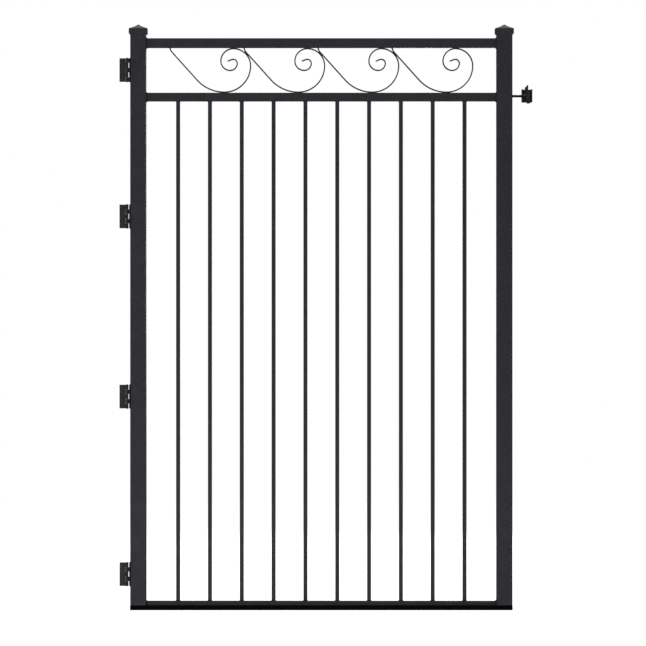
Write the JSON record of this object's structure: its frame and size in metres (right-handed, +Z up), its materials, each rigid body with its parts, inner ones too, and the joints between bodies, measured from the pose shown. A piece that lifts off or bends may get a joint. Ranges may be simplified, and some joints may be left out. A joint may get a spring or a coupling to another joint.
{
  "type": "garden gate",
  "caption": "Single-leaf steel garden gate with square posts and caps, pickets, a band of scrolls, knuckle hinges and a gravity latch.",
  "frame": {"origin": "centre of the bounding box on the ground plane under the gate, with the gate closed", "axes": "+Z up; the front of the gate, with the hinge barrels, faces -Y; the hinges are on the -X side and the latch is on the +X side"},
  "size_m": [1.2986, 0.0636, 1.8441],
  "materials": {
    "coated_steel": "satin charcoal-black powder coat with fine orange peel",
    "cap_plastic": "satin moulded plastic, charcoal black",
    "edging": "matte black extruded edging",
    "hinge_steel": "satin black paint, worn at the knuckles",
    "pin_steel": "blackened steel, slightly oily, brighter where it rubs",
    "latch_steel": "satin black paint over cast steel, rubbed on the hook and the thumb tab"
  },
  "bodies": {
    "mounting": {"post_leaf_1": "hinge_steel", "post_leaf_2": "hinge_steel", "post_leaf_3": "hinge_steel", "post_leaf_4": "hinge_steel", "hinge_pin_1": "pin_steel", "hinge_pin_2": "pin_steel", "hinge_pin_3": "pin_steel", "hinge_pin_4": "pin_steel", "latch_housing": "hinge_steel", "latch_pivot": "pin_steel"},
    "gate": {"hinge_stile": "coated_steel", "latch_stile": "coated_steel", "top_rail": "coated_steel", "middle_rail": "coated_steel", "bottom_rail": "coated_steel", "hinge_stile_cap": "cap_plastic", "latch_stile_cap": "cap_plastic", "picket_01": "coated_steel", "picket_02": "coated_steel", "picket_03": "coated_steel", "picket_04": "coated_steel", "picket_05": "coated_steel", "picket_06": "coated_steel", "picket_07": "coated_steel", "picket_08": "coated_steel", "picket_09": "coated_steel", "picket_10": "coated_steel", "scroll_1": "coated_steel", "scroll_2": "coated_steel", "scroll_3": "coated_steel", "scroll_4": "coated_steel", "bottom_channel": "edging", "gate_leaf_1": "hinge_steel", "gate_leaf_2": "hinge_steel", "gate_leaf_3": "hinge_steel", "gate_leaf_4": "hinge_steel", "striker_rod": "pin_steel"},
    "latch_pawl": {"latch_pawl": "latch_steel"}
  },
  "joints": [
    {"name": "gate_swing", "type": "hinge", "parent": "mounting", "child": "gate", "pos_m": [-0.62518, -0.02725, 1.2384], "axis": [0, 0, -1], "range_deg": [0, 180]},
    {"name": "latch_lift", "type": "hinge", "parent": "mounting", "child": "latch_pawl", "pos_m": [0.63282, 0.01425, 1.6187], "axis": [-1, 0, 0], "range_deg": [0, 65]}
  ]
}
